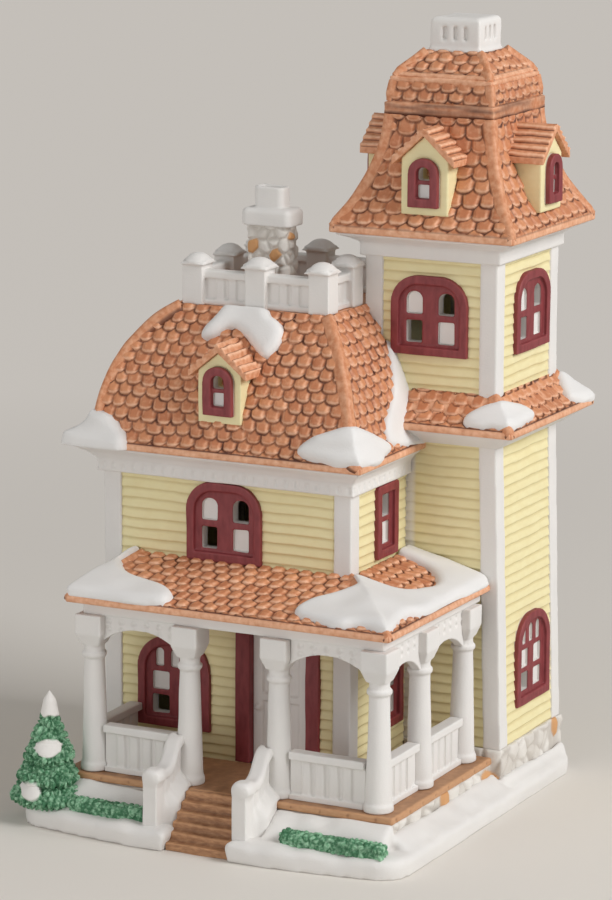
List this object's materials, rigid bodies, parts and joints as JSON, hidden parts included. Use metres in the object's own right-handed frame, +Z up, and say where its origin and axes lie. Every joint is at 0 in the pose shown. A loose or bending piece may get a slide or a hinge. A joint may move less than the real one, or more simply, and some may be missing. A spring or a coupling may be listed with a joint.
{
  "type": "christmas village house",
  "caption": "Slip-cast ceramic village house with a mansard roof, corner tower and wrap-around porch, lit from inside by a bulb in a plug-in rear holder.",
  "frame": {"origin": "under the middle of the base's flat underside", "axes": "+Z up, -Y out of the front steps, +X towards the tower's side"},
  "size_m": [0.132, 0.1436, 0.2349],
  "materials": {
    "bisque_white": "unglazed white bisque, matte, soft cast edges",
    "snow_white": "unglazed white bisque, smooth and matte",
    "siding_yellow": "matte pale yellow paint on bisque",
    "roof_terracotta": "matte terracotta paint with a dark wash in the joints",
    "window_maroon": "matte maroon paint, brushed on",
    "step_tan": "matte tan paint with a darker wash",
    "foundation_stone": "matte grey wash over cobbles in relief",
    "foliage_green": "stippled green paint with white snow",
    "holder_plastic": "plain moulded white",
    "spring_steel": "bare spring steel",
    "bulb_brass": "bare screw cap",
    "bulb_glass": "clear"
  },
  "bodies": {
    "house": {"base": "bisque_white", "stair_wall_left": "bisque_white", "stair_wall_right": "bisque_white", "porch_arches": "bisque_white", "porch_beam": "bisque_white", "main_corner_boards": "bisque_white", "main_cornice": "bisque_white", "roof_balustrade": "bisque_white", "chimney_stack": "bisque_white", "chimney_cap": "bisque_white", "tower_corner_boards": "bisque_white", "tower_skirt_cornice": "bisque_white", "tower_cornice": "bisque_white", "tower_cap": "bisque_white", "closed_panes": "bisque_white", "porch_column_front_left": "bisque_white", "porch_column_stair_left": "bisque_white", "porch_column_stair_right": "bisque_white", "porch_column_corner": "bisque_white", "porch_column_side_middle": "bisque_white", "porch_column_side_rear": "bisque_white", "railing_front_left": "bisque_white", "railing_front_right": "bisque_white", "railing_side_front": "bisque_white", "railing_side_rear": "bisque_white", "railing_left_end": "bisque_white", "front_door": "bisque_white", "porch_snow": "snow_white", "main_roof_snow": "snow_white", "tower_skirt_snow": "snow_white", "front_wall": "siding_yellow", "left_wall": "siding_yellow", "right_wall": "siding_yellow", "rear_wall": "siding_yellow", "tower_lower_walls": "siding_yellow", "tower_upper_walls": "siding_yellow", "main_dormer": "siding_yellow", "tower_dormers": "siding_yellow", "main_roof": "roof_terracotta", "porch_roof": "roof_terracotta", "tower_skirt_roof": "roof_terracotta", "tower_roof": "roof_terracotta", "main_dormer_roof": "roof_terracotta", "tower_dormer_roofs": "roof_terracotta", "windows_front": "window_maroon", "windows_right": "window_maroon", "windows_left": "window_maroon", "windows_rear": "window_maroon", "windows_tower": "window_maroon", "dormer_windows": "window_maroon", "door_frame": "window_maroon", "porch_deck": "step_tan", "front_steps": "step_tan", "stone_foundation": "foundation_stone", "evergreen_tree": "foliage_green", "hedges": "foliage_green"},
    "lamp": {"lamp_holder": "holder_plastic", "lamp_springs": "spring_steel"},
    "bulb": {"bulb_cap": "bulb_brass", "bulb_glass": "bulb_glass"}
  },
  "joints": [
    {"name": "lamp_pull", "type": "slide", "parent": "house", "child": "lamp", "axis": [0, 1, 0], "range_m": [0, 0.07]},
    {"name": "bulb_turn", "type": "hinge", "parent": "lamp", "child": "bulb", "pos_m": [-0.018, 0.0436, 0.042], "axis": [0, 1, 0], "range_deg": [0, 720]}
  ]
}
